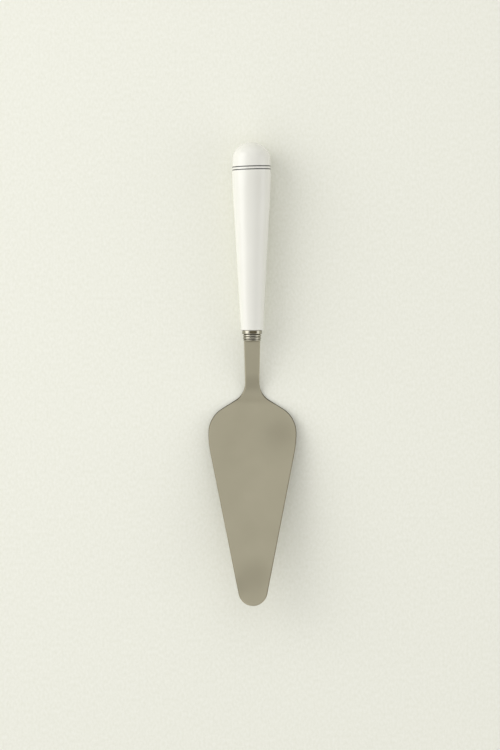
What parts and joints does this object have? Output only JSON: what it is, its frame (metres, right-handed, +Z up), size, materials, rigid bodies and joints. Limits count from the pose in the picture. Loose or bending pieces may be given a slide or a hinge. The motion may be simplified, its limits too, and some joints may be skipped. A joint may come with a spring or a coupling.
{
  "type": "cake server",
  "caption": "Cake server with a tapering glazed porcelain handle, ribbed steel ferrule and a flared, round-tipped stainless blade, lying on its heel and butt.",
  "frame": {"origin": "middle of the outline, on the table that the butt's belly and the blade's heel touch", "axes": "+Y along the handle towards its butt, +X across the blade, +Z up from the table, towards the face that carries the slice"},
  "size_m": [0.0478, 0.25, 0.0264],
  "materials": {
    "white_glaze": "glossy white glaze over porcelain",
    "grey_band": "dark grey fired colour under the glaze",
    "polished_steel": "polished stainless steel",
    "satin_steel": "satin stainless steel",
    "cement": "matte cement"
  },
  "bodies": {
    "root": {"handle": "white_glaze", "upper_band": "grey_band", "lower_band": "grey_band", "ferrule": "polished_steel", "blade": "satin_steel", "tang_cement": "cement"}
  },
  "joints": []
}
